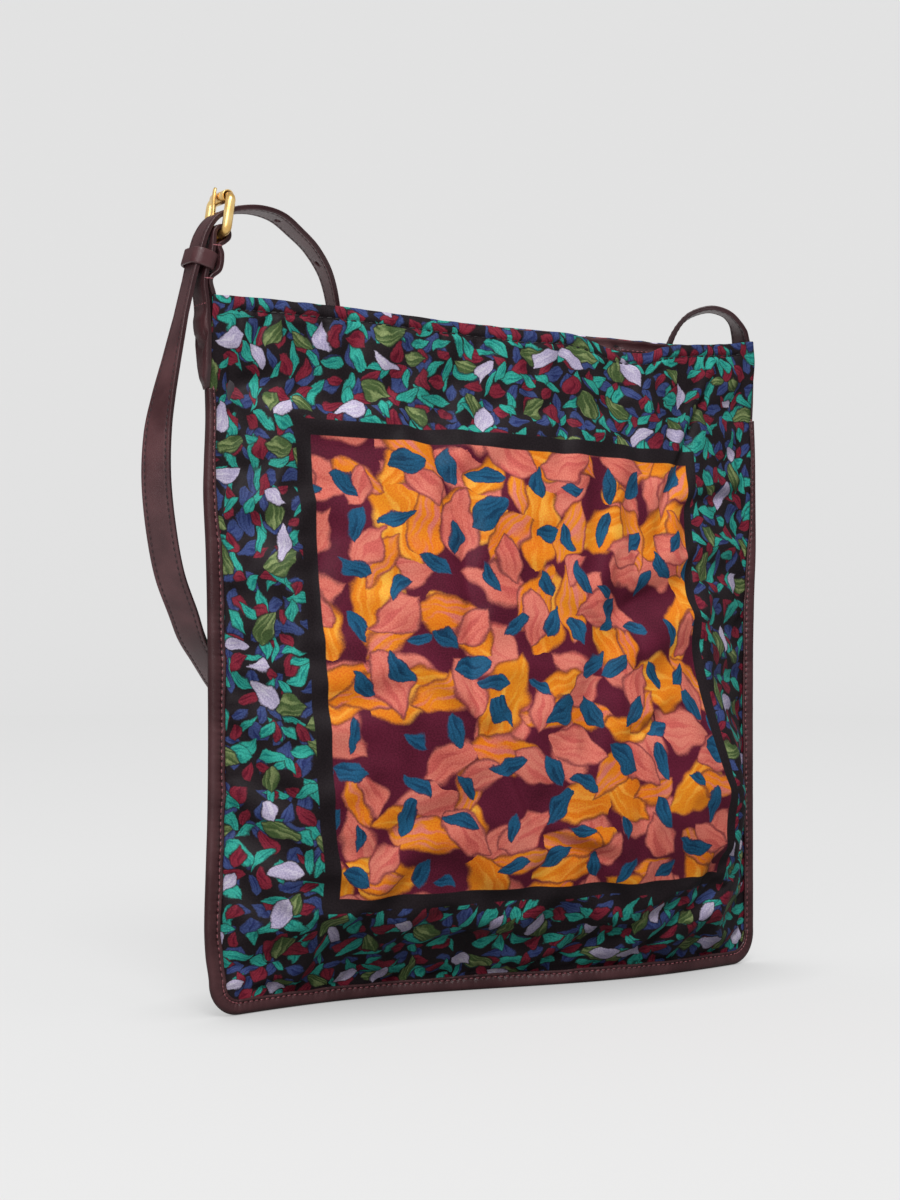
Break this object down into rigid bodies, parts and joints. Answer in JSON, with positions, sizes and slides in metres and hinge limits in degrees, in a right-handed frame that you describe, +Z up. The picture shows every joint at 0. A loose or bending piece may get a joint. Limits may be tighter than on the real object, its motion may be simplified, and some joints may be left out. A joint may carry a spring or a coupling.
{
  "type": "shoulder bag",
  "caption": "Soft flat shoulder bag of printed cloth with leather edge binding and an adjustable leather strap, fastened by a roller buckle and hanging behind it.",
  "frame": {"origin": "on the ground under the middle of the bottom seam", "axes": "+Z up, X across the bag, the front faces -Y, and the buckle is on the -X side"},
  "size_m": [0.3709, 0.1115, 0.4035],
  "materials": {
    "printed_cloth": "satin printed cloth",
    "leather": "semi-matt dark burgundy leather with stitched edges",
    "antique_brass": "antique polished brass"
  },
  "bodies": {
    "root": {"front_panel": "printed_cloth", "back_panel": "printed_cloth", "facing_front": "leather", "facing_back": "leather", "edge_binding": "leather", "buckle_tab": "leather", "strap": "leather", "strap_keeper": "leather", "buckle_frame": "antique_brass", "buckle_prong": "antique_brass", "buckle_roller": "antique_brass"}
  },
  "joints": []
}
